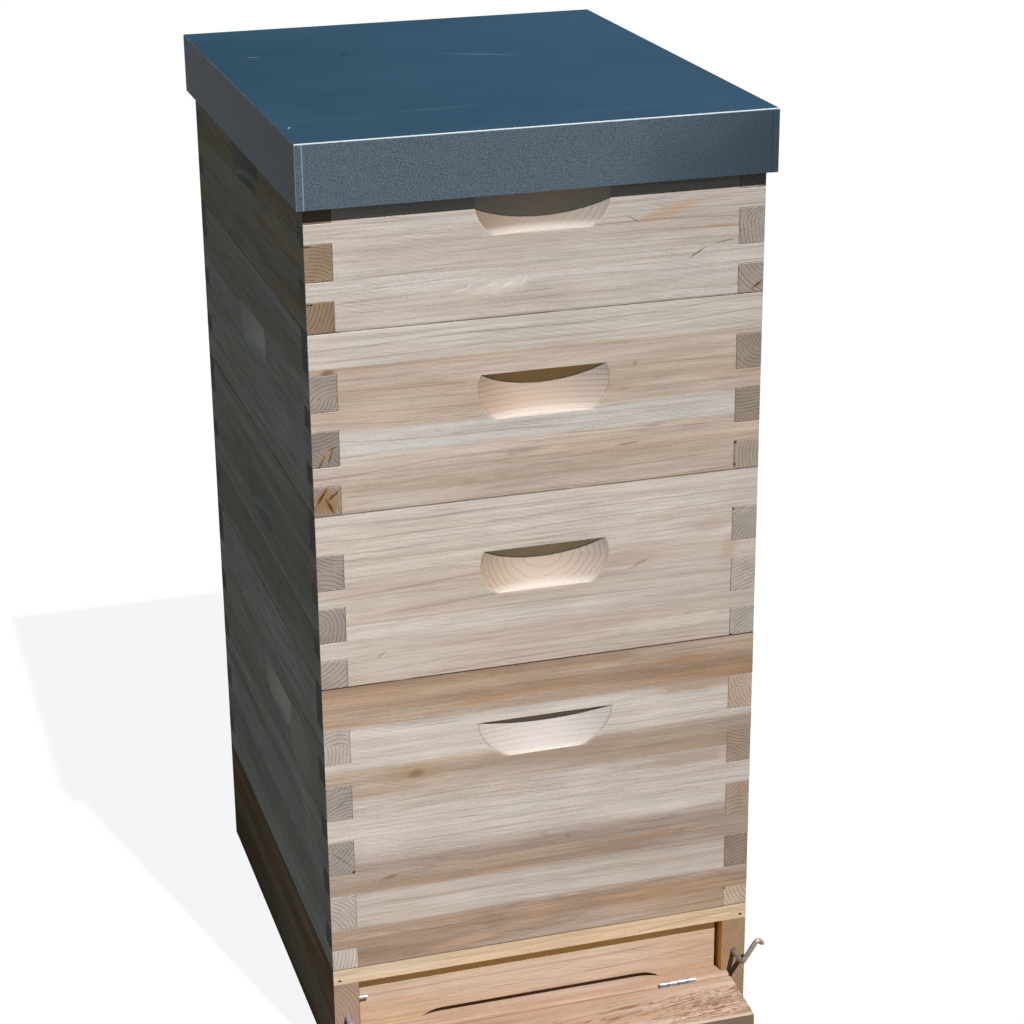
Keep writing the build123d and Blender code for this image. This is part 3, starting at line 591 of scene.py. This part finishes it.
panel_marks = {
    "brood_front": [
        Mark(-125, 200, 56, 16, 3, paint(156, 132, 104), 0.6),
        Mark(-125, 199, 12, 6, 3, paint(122, 96, 66), 0.65),
        Mark(-152, 94, 11, 2.2, 6, paint(124, 80, 48), 0.7),
        Mark(109, 94, 40, 5, 4, paint(164, 126, 96), 0.45),
        Mark(25, 108, 6, 4, 0, paint(134, 118, 106), 0.7),
        Mark(150, 280, 80, 4, 2, paint(166, 122, 80), 0.5),
        Mark(-40, 266, 90, 4, 2, paint(168, 124, 84), 0.45),
        Mark(-80, 10, 50, 6, 4, paint(202, 162, 132), 0.5),
        Mark(-20, 20, 40, 4, 2, paint(192, 156, 128), 0.35),
        Mark(160, 251, 85, 11, 0, paint(162, 138, 118), 0.8),
        Mark(140, 173, 90, 10, 0, paint(160, 142, 126), 0.75),
        Mark(140, 199, 80, 7, 0, paint(180, 164, 150), 0.4),
        Mark(110, 124, 110, 11, 0, paint(206, 196, 186), 0.5),
        Mark(90, 54, 110, 7, 0, paint(198, 184, 172), 0.5),
        Mark(-165, 238, 42, 9, 0, paint(182, 170, 160), 0.5),
    ],
    "super_1_front": [
        Mark(96, 88, 16, 2.2, 24, paint(130, 110, 94), 0.5),
        Mark(185, 93, 24, 11, 70, paint(176, 148, 118), 0.5),
        Mark(-155, 29, 10, 1.4, 32, paint(130, 108, 90), 0.5),
        Mark(144, 30, 9, 1.2, 20, paint(130, 108, 90), 0.5),
        Mark(-140, 12, 75, 10, 0, paint(208, 198, 188), 0.5),
        Mark(168, 118, 48, 13, 4, paint(172, 152, 134), 0.6),
        Mark(125, 23, 95, 10, 0, paint(210, 200, 188), 0.55),
    ],
    "super_2_front": [
        Mark(-17, 42, 24, 4, 3, paint(142, 122, 106), 0.5),
        Mark(82, 38, 15, 1.6, 3, paint(116, 100, 86), 0.65),
        Mark(89, 114, 3.6, 3.6, 0, paint(128, 116, 106), 0.7),
        Mark(-196, 134, 11, 4, 8, paint(124, 94, 66), 0.8),
        Mark(130, 122, 80, 9, 3, paint(170, 148, 130), 0.5),
        Mark(130, 95, 80, 5, 0, paint(200, 186, 172), 0.55),
        Mark(110, 44, 100, 6, 0, paint(174, 154, 136), 0.5),
        Mark(-140, 98, 72, 15, 0, paint(200, 182, 164), 0.45),
        Mark(-130, 9, 95, 8, 0, paint(204, 192, 180), 0.5),
    ],
    "super_3_front": [
        Mark(122, 84, 50, 8, 14, paint(180, 146, 114), 0.6),
        Mark(168, 66, 22, 2.6, -4, paint(172, 138, 108), 0.6),
        Mark(148, 43, 12, 1.1, 29, paint(96, 78, 64), 0.9),
        Mark(172, 51, 18, 0.9, 8, paint(96, 78, 64), 0.7),
        Mark(86, 79, 12, 0.8, -30, paint(110, 92, 78), 0.7),
        Mark(-40, 28, 46, 8, 5, paint(216, 205, 194), 0.6),
        Mark(0, 62, 72, 12, 0, paint(182, 170, 160), 0.45),
        Mark(-130, 6, 85, 7, 0, paint(206, 196, 186), 0.45),
        Mark(-30, 30, 10, 1.4, 30, fleck, 0.8),
        Mark(-74, 28, 9, 1.0, 12, fleck, 0.8),
        Mark(-67, 30, 5, 0.9, 44, fleck, 0.7),
        Mark(-45, 31, 7, 0.9, 8, fleck, 0.8),
        Mark(-16, 31, 5, 1.0, 50, fleck, 0.8),
        Mark(-58, 24, 8, 0.8, 6, fleck, 0.7),
    ],
    "super_3_left": [
        Mark(-210, 78.6, 6, 1.3, 6, crack, 0.9),
        Mark(-209, 27, 5, 1.2, 0, crack, 0.8),
    ],
    "super_2_left": [
        Mark(-204, 52, 11, 1.5, 62, resin, 0.9),
        Mark(-196, 56, 10, 1.2, 70, resin, 0.9),
        Mark(-194, 64, 7, 1.1, 20, resin, 0.8),
        Mark(-201, 58, 12, 7, 60, paint(168, 130, 92), 0.5),
        Mark(-201, 14, 20, 20, 0, paint(148, 116, 80), 0.9),
        Mark(-206, 18, 14, 2.2, 58, resin, 0.95),
        Mark(-198, 10, 12, 2.0, 118, paint(84, 48, 22), 0.9),
        Mark(-194, 20, 10, 1.6, 40, paint(84, 48, 22), 0.9),
    ],
    "super_3_right": [
        Mark(206, 7.5, 8, 1.8, 34, resin, 0.9),
        Mark(198, 112, 3, 2.4, 0, paint(70, 58, 50), 0.7),
    ],
    "super_2_right": [
        Mark(188.6, 27, 2.6, 1.8, 40, crack, 0.95),
        Mark(188.2, 5, 1.6, 3.0, 0, crack, 0.8),
    ],
    "super_1_right": [
        Mark(188.6, 131, 2.0, 1.6, 0, crack, 0.95),
        Mark(188.4, 1.5, 2.0, 1.8, 0, crack, 0.95),
        Mark(204.6, 61.9, 5.4, 5.4, 0, paint(212, 204, 196), 0.55),
        Mark(204.6, 61.9, 4.2, 4.2, 0, paint(160, 148, 138), 0.9),
    ],
    "brood_right": [
        Mark(188.4, 21, 2.0, 1.6, 0, crack, 0.95),
        Mark(203, 84, 9, 1.6, 4, paint(84, 60, 42), 0.8),
    ],
    "brood_left": [
        Mark(-188.6, 104.4, 2.2, 2.0, 0, crack, 0.95),
        Mark(-199, 178, 15, 0.9, 34, paint(88, 76, 66), 0.7),
        Mark(-200, 120, 16, 0.9, -42, paint(88, 76, 66), 0.7),
    ],
}
end_tones = {
    "super_3_left": golden_ends,
    "super_2_right": brown_ends,
    "super_1_left": pale_grey_ends,
    "super_1_right": cool_ends,
    "brood_left": pale_ends,
    "brood_right": tan_box_ends,
}

# Shades of the fingers that end at the front: the height in millimetres from which each counts, and its shade
finger_shades = {
    "super_3_left": ((0, 0.91), (40, 1.0)),
    "super_3_right": ((0, 0.91), (40, 1.0)),
    "super_2_left": ((0, 1.0), (40, 0.8), (94, 1.0)),
    "super_2_right": ((0, 1.0), (40, 0.73), (94, 0.81)),
    "super_1_left": ((0, 1.0), (40, 0.83), (94, 0.85)),
    "super_1_right": ((0, 0.91), (40, 1.0), (94, 0.88)),
    "brood_left": ((0, 1.0), (34, 0.88), (89, 0.65), (148, 0.67), (207, 0.87)),
    "brood_right": ((0, 1.0), (34, 0.56), (89, 0.75), (148, 0.65), (207, 0.93)),
}

# Hand grips: bottom and top above the panel's bottom, and the two ends along the panel, in millimetres
super_grip = (74.0, 118.5, -70.0, 72.0)
brood_grip = (203.0, 243.0, -72.0, 76.0)
brood_side_grip = (178.0, 218.0, -116.0, 36.0)

# Colours of the panels without a stave table
left_tones = {
    "brood": (paint(214, 202, 192), paint(168, 152, 138)),
    "super_1": (paint(206, 194, 183), paint(158, 141, 126)),
    "super_2": (paint(210, 198, 188), paint(168, 152, 139)),
    "super_3": (paint(190, 174, 154), paint(152, 132, 108)),
}
plain_tones = [
    (paint(194, 181, 168), paint(164, 143, 124)),
    (paint(200, 191, 182), paint(174, 157, 142)),
    (paint(188, 173, 158), paint(158, 135, 115)),
]

# Staves of these panels: the widths that they take in turn and the least one, in millimetres, the heights of
# their piths in hundredths of the width, how softly they end, and how strong their streaks are
plain_widths = (62.0, 48.0, 75.0, 55.0)
least_stave = 25.0
plain_piths = (-60.0, 40.0, 120.0, 15.0, 90.0)
plain_soft = 2
plain_streaks = 0.55

# Strength of the dirt in the seams under and over a box
super_1_seam = 1.0
box_seam = 0.55


def plain_staves(height, offset, tones):
    """Staves of the panels that the photograph hardly shows, in millimetres up to the panel's height."""
    staves = []
    top = 0.0
    index = offset
    while top < height:
        bottom = top
        top = top + plain_widths[index % len(plain_widths)]
        if height - top < least_stave:
            top = height
        pale, dark = tones[(index * 2 + index // 3) % len(tones)]
        pith = bottom + plain_piths[index % len(plain_piths)] * (top - bottom) / 100.0
        staves.append(Stave(top, plain_soft, pith, pale, dark, plain_streaks))
        index += 1
    return staves


faces = {
    "front": (front_face, 1.0),
    "back": (back_face, -1.0),
    "left": (left_face, 1.0),
    "right": (right_face, -1.0),
}
boxes = ("brood", "super_1", "super_2", "super_3")
for box_index, box in enumerate(boxes):
    low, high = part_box(f"{box}_front_panel")
    for side_index, (side, (face, inward)) in enumerate(faces.items()):
        name = f"{box}_{side}"
        panel = Panel(low.z, high.z - low.z, face, inward)
        grain = "x" if side in ("front", "back") else "y"
        if side == "front":
            staves = front_staves[box]
        else:
            tones = [left_tones[box]] if side == "left" else plain_tones
            staves = plain_staves(panel.height / MM, box_index + 3 * side_index, tones)
        grip = super_grip
        if box == "brood":
            grip = brood_grip if grain == "x" else brood_side_grip
        material = wood(
            f"wood_{name}",
            grain,
            panel,
            staves,
            panel_marks.get(name, ()),
            grip,
            scoops.get(name, aged_scoop),
            end_tones.get(name, grey_ends),
            super_1_seam if box == "super_1" else box_seam,
            fingers=finger_shades.get(name, ()),
            shade_gradient=front_shade_gradient if side == "front" else 0.0,
        )
        dress(f"{name}_panel", material)

# Frames and wax
loose_panel = Panel(0.0, 1.0, 0.0, 1.0)
bar_stave = Stave(1000, 2, -200, paint(212, 186, 148), paint(184, 149, 107), 0.4)
bar_wood = wood("wood_frame_bars", "y", loose_panel, [bar_stave])
upright_wood = wood("wood_frame_sides", "x", loose_panel, [bar_stave])


def wax_material():
    """Beeswax sheet pressed with a cell pattern."""
    graph = Graph("wax_foundation")
    _, y, z = graph.axes()
    cells = graph.tree.nodes.new("ShaderNodeTexVoronoi")
    cells.feature = "DISTANCE_TO_EDGE"
    graph.feed(cells.inputs["Vector"], graph.vector(0.0, y, z))
    graph.feed(cells.inputs["Scale"], 190.0)
    graph.feed(cells.inputs["Randomness"], 0.15)
    walls = graph.rise(cells.outputs["Distance"], 0.16, 0.06)
    cloud = graph.rise(graph.noise(graph.place, 18.0, 3.0), 0.35, 0.7)
    floor_colour = graph.mix(cloud, paint(222, 172, 80), paint(232, 190, 104))
    colour = graph.mix(walls, floor_colour, paint(240, 206, 128))
    graph.bump(walls, 0.6, 0.6 * MM)
    graph.surface(Base_Color=colour, Roughness=0.42)
    return graph.material


wax = wax_material()
for box in boxes:
    dress(f"{box}_frame_top_bars", bar_wood, bar_round)
    dress(f"{box}_frame_side_bars", upright_wood, bar_round)
    dress(f"{box}_frame_bottom_bars", bar_wood, bar_round)
    dress(f"{box}_foundation_sheets", wax, unrounded)

# Base; each of its boards is one stave, which reaches above the board
base_stave_top = 400.0
base_panel = Panel(0.0, base_stave_top * MM, front_face, 1.0)
rail_stave = Stave(base_stave_top, 2, 150, paint(217, 194, 164), paint(190, 157, 122), 0.5)
block_stave = Stave(base_stave_top, 2, 120, paint(195, 166, 139), paint(176, 138, 107), 0.45)
sill_stave = Stave(base_stave_top, 2, 90, paint(178, 152, 131), paint(150, 116, 92), 0.5)
landing_stave = Stave(base_stave_top, 2, 20, paint(180, 154, 134), paint(124, 86, 62), 0.4)
side_stave = Stave(base_stave_top, 2, 60, paint(160, 124, 92), paint(122, 90, 62), 0.5)
right_stave = Stave(base_stave_top, 2, 60, paint(176, 148, 122), paint(144, 114, 88), 0.5)
landing_marks = [
    Mark(130, -298, 62, 1.2, 10, paint(118, 78, 56), 0.8),
    Mark(150, -320, 45, 1.0, 6, paint(118, 78, 56), 0.7),
    Mark(88, -305, 11, 2.6, 8, paint(164, 106, 76), 0.7),
    Mark(-20, -312, 60, 1.0, 4, paint(140, 96, 70), 0.6),
]
pink_ends = (paint(170, 144, 126), paint(118, 92, 76))
tan_ends = (paint(164, 136, 108), paint(112, 84, 60))
# Painted bounce light: the inner face of the right wall is gold
inner_bounce_gold = paint(226, 172, 98)
left_panel = Panel(0.0, base_stave_top * MM, left_face, 1.0)
left_wall_wood = wood("wood_base_left", "y", left_panel, [side_stave], ends=pink_ends)
right_panel = Panel(0.0, base_stave_top * MM, right_face, -1.0)
right_wall_wood = wood("wood_base_right", "y", right_panel, [right_stave], ends=tan_ends, inner_bounce=inner_bounce_gold)
rail_wood = wood("wood_rail", "x", base_panel, [rail_stave], ends=tan_ends)
# The entrance block is painted gold from the lower edge of the rail's shadow up, as painted bounce light
block_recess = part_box("entrance_block")[0].y - front_face
rail_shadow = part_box("base_front_rail")[0].z - overhang_slope * block_recess
block_wood = wood("wood_block", "x", base_panel, [block_stave], ends=tan_ends, sheltered=rail_shadow)
sill_wood = wood("wood_sill", "x", base_panel, [sill_stave], ends=tan_ends)
landing_wood = wood("wood_landing", "x", base_panel, [landing_stave], landing_marks, ends=tan_ends, sawn=True)
base_dress = {
    "base_left_wall": left_wall_wood,
    "base_right_wall": right_wall_wood,
    "mesh_side_battens": left_wall_wood,
    "tray_runners": left_wall_wood,
    "base_front_rail": rail_wood,
    "base_back_wall": rail_wood,
    "mesh_back_batten": rail_wood,
    "tray_front": rail_wood,
    "entrance_block": block_wood,
    "entrance_sill": sill_wood,
    "landing_board": landing_wood,
}
for node, material in base_dress.items():
    dress(node, material)

# Roof
roof_marks = [
    Mark(-88, 106, 4, 7, 0, paint(24, 44, 64), 0.8),
    Mark(40, 60, 52, 5, -26, paint(92, 112, 126), 0.4),
    Mark(162, 67, 3, 2, 0, paint(36, 56, 74), 0.6),
    Mark(-60, -170, 70, 0.9, 4, paint(96, 118, 132), 0.6),
    Mark(-210, -205, 4, 0.9, 60, paint(214, 216, 214), 0.9),
    Mark(-176, 120, 9, 1.2, 0, paint(170, 178, 182), 0.6),
]
# Painted highlight on the rounded fold between the roof's top and its front skirt
fold_highlight = paint(206, 214, 218)

# Distance in millimetres of the lap's edge from the roof's side, and the least upward slope of the top
lap_edge = 6.5
top_slope = 0.7


def roof_top_material():
    """Smooth blue coat with faint scratches; its blue is partly its own and partly painted reflection of the
    sky.
    """
    graph = Graph("roof_top_coat")
    x, y, _ = graph.axes()
    _, facing, up = graph.axes("Normal")
    cloud = graph.noise(graph.place, 4.0, 3.0, 0.6)
    brush_place = graph.vector(graph.math("MULTIPLY", x, 3.0), graph.math("MULTIPLY", y, 60.0), 0.0)
    brushed = graph.rise(graph.noise(brush_place, 1.0, 3.0), 0.55, 0.8)
    colour = graph.mix(graph.rise(cloud, 0.3, 0.7), paint(43, 67, 85), paint(50, 74, 92))
    colour = graph.mix(graph.math("MULTIPLY", brushed, 0.15), colour, paint(84, 106, 122))
    colour = graph.mix(graph.math("MULTIPLY", graph.rise(x, -0.15, 0.25), 0.4), colour, paint(58, 84, 106))
    roughening = graph.about(graph.noise(graph.place, 120.0), 0.8)
    for mark in roof_marks:
        colour = graph.mix(graph.spot(mark, x, y, roughening), colour, mark.colour)
    # Painted highlight where the top folds over to the front
    fold = graph.product(graph.rise(up, 0.98, 0.8), graph.rise(facing, -0.1, -0.4), 0.8)
    colour = graph.mix(fold, colour, fold_highlight)
    graph.bump(cloud, 0.1, 0.5 * MM)
    graph.surface(Base_Color=colour, Roughness=0.6, Specular_IOR_Level=0.0)
    return graph.material


def roof_skirt_material():
    """Pebbled grey coat with a faint sheen, and painted highlights on its folds, its corners and its lap
    edges.
    """
    graph = Graph("roof_skirt_coat")
    x = graph.axes()[0]
    _, facing, up = graph.axes("Normal")
    roof_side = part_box("roof_sheet")[1].x
    speckle = graph.noise(graph.place, 1350.0, 1.5, 0.6)
    cloud = graph.noise(graph.place, 4.0, 3.0, 0.6)
    colour = graph.mix(graph.rise(speckle, 0.32, 0.7), paint(47, 61, 72), paint(110, 124, 133))
    # Darker to the right
    right_darkening = graph.rise(graph.math("ADD", x, graph.about(cloud, 0.5)), 0.05, 0.26)
    colour = graph.mix(graph.math("MULTIPLY", right_darkening, 0.8), colour, paint(48, 62, 73))
    # Painted highlights along the lap's edge and at the corner on the front of the skirt, less to the right
    from_side = graph.math("SUBTRACT", roof_side, graph.math("ABSOLUTE", x))
    from_lap = graph.math("ABSOLUTE", graph.math("SUBTRACT", from_side, lap_edge * MM))
    lap_highlight = graph.rise(from_lap, 0.9 * MM, 0.2 * MM)
    corner_highlight = graph.rise(from_side, 0.9 * MM, 0.3 * MM)
    lighter_edge = graph.math("MAXIMUM", lap_highlight, corner_highlight)
    lighter_edge = graph.product(lighter_edge, graph.math("LESS_THAN", facing, -0.5), graph.rise(x, 0.24, -0.2), 0.7)
    colour = graph.mix(lighter_edge, colour, paint(150, 163, 172))
    # Painted highlight where the front skirt folds up to the top
    fold = graph.product(graph.rise(up, 0.1, 0.4), graph.rise(facing, -0.1, -0.4), 0.8)
    colour = graph.mix(fold, colour, fold_highlight)
    graph.bump(speckle, 0.25, 0.3 * MM)
    graph.surface(Base_Color=colour, Roughness=0.5, Specular_IOR_Level=0.02)
    return graph.material


dress("roof_sheet", roof_skirt_material(), unrounded)
roof = nodes["roof_sheet"].data
roof.materials.append(roof_top_material())
for polygon in roof.polygons:
    polygon.material_index = 1 if polygon.normal.z > top_slope else 0


# Hardware
def metal(name, bright, dull, roughness, shine=1.0):
    """Clouded metal, bright to dull; shine is how metallic it looks."""
    graph = Graph(name)
    cloud = graph.noise(graph.place, 260.0, 3.0, 0.6)
    colour = graph.mix(graph.rise(cloud, 0.35, 0.7), bright, dull)
    graph.bump(graph.noise(graph.place, 1500.0), 0.15, 0.1 * MM)
    graph.surface(Base_Color=colour, Metallic=shine, Roughness=roughness)
    return graph.material


zinc = metal("zinc_plate", paint(196, 196, 198), paint(150, 150, 152), 0.42, 0.6)
hook_steel = metal("hook_steel", paint(150, 138, 126), paint(120, 107, 95), 0.5, 0.4)
nail_steel = metal("nail_steel", paint(122, 92, 60), paint(84, 62, 42), 0.6)
mesh_steel = metal("mesh_steel", paint(176, 178, 180), paint(140, 142, 144), 0.4)
# The hooks are one steel: the left one is drawn pale as painted light, the right one darker and browner as
# painted shade.
metal_dress = {
    "hinge_sill_leaves": zinc,
    "hinge_board_leaves": zinc,
    "hinge_pins": zinc,
    "block_retaining_pin": zinc,
    "rail_nails": nail_steel,
    "turn_hook_left": zinc,
    "turn_hook_right": hook_steel,
    "mesh_floor": mesh_steel,
}
for node, material in metal_dress.items():
    dress(node, material, unrounded)


def tray_material():
    """White sheet with specks of fallen wax."""
    graph = Graph("tray_sheet")
    cloud = graph.noise(graph.place, 30.0, 4.0, 0.6)
    speck = graph.rise(graph.noise(graph.place, 420.0, 2.0), 0.66, 0.74)
    colour = graph.mix(graph.rise(cloud, 0.35, 0.7), paint(236, 236, 232), paint(222, 220, 212))
    colour = graph.mix(graph.math("MULTIPLY", speck, 0.5), colour, paint(170, 150, 118))
    graph.surface(Base_Color=colour, Roughness=0.45)
    return graph.material


dress("varroa_tray", tray_material(), tray_round)


# Floor, light and camera
def seen(tree):
    """1 for rays from the camera and for reflected or refracted ones, 0 for light that falls on the hive."""
    path = tree.nodes.new("ShaderNodeLightPath")
    result = path.outputs["Is Camera Ray"]
    for kind in ("Is Glossy Ray", "Is Transmission Ray"):
        either = tree.nodes.new("ShaderNodeMath")
        either.operation = "MAXIMUM"
        tree.links.new(result, either.inputs[0])
        tree.links.new(path.outputs[kind], either.inputs[1])
        result = either.outputs[0]
    return result


def floor_material():
    """White to the eye, with a soft shadow, and darker in the light that it throws back."""
    graph = Graph("floor_white")
    grey = (floor_reflectance, floor_reflectance, floor_reflectance, 1.0)
    graph.surface(Base_Color=grey, Roughness=1.0, Specular_IOR_Level=0.0, Emission_Color=(1.0, 1.0, 1.0, 1.0))
    graph.surface(Emission_Strength=graph.math("MULTIPLY", seen(graph.tree), floor_glow))
    return graph.material


bpy.ops.mesh.primitive_plane_add(size=floor_size, location=(0, 0, 0))
floor = bpy.context.object
floor.name = "floor"
floor.data.materials.append(floor_material())

world = bpy.data.worlds.new("studio")
bpy.context.scene.world = world
world.use_nodes = True
world_tree = world.node_tree
fill = world_tree.nodes["Background"]
fill.inputs["Color"].default_value = (*fill_colour, 1.0)
fill.inputs["Strength"].default_value = fill_strength
white = world_tree.nodes.new("ShaderNodeBackground")
white.inputs["Color"].default_value = (1.0, 1.0, 1.0, 1.0)
either_world = world_tree.nodes.new("ShaderNodeMixShader")
world_tree.links.new(seen(world_tree), either_world.inputs[0])
world_tree.links.new(fill.outputs[0], either_world.inputs[1])
world_tree.links.new(white.outputs[0], either_world.inputs[2])
world_tree.links.new(either_world.outputs[0], world_tree.nodes["World Output"].inputs["Surface"])


def sun(name, right, height, strength):
    """A distant lamp; right is its angle from the front, seen from above."""
    lamp = bpy.data.lights.new(name, "SUN")
    lamp.energy = strength
    lamp.angle = key_spread
    lamp.color = key_colour
    lamp_object = bpy.data.objects.new(name, lamp)
    toward = Vector((sin(right) * cos(height), -cos(right) * cos(height), sin(height)))
    lamp_object.rotation_mode = "QUATERNION"
    lamp_object.rotation_quaternion = toward.to_track_quat("Z", "Y")
    bpy.context.scene.collection.objects.link(lamp_object)


sun("key", key_right, key_height, key_strength)
sun("back", back_right, back_height, back_strength)

view = bpy.data.cameras.new("camera")
view.lens = camera_lens
view.sensor_width = camera_sensor
view.sensor_fit = "HORIZONTAL"
camera = bpy.data.objects.new("camera", view)
looking = Vector((
    sin(camera_azimuth) * cos(camera_tilt),
    cos(camera_azimuth) * cos(camera_tilt),
    -sin(camera_tilt),
))
camera.location = camera_place
camera.rotation_mode = "QUATERNION"
camera.rotation_quaternion = looking.to_track_quat("-Z", "Y") @ Quaternion((0, 0, 1), camera_roll)
bpy.context.scene.collection.objects.link(camera)
bpy.context.scene.camera = camera
bpy.context.scene.view_settings.view_transform = "Standard"
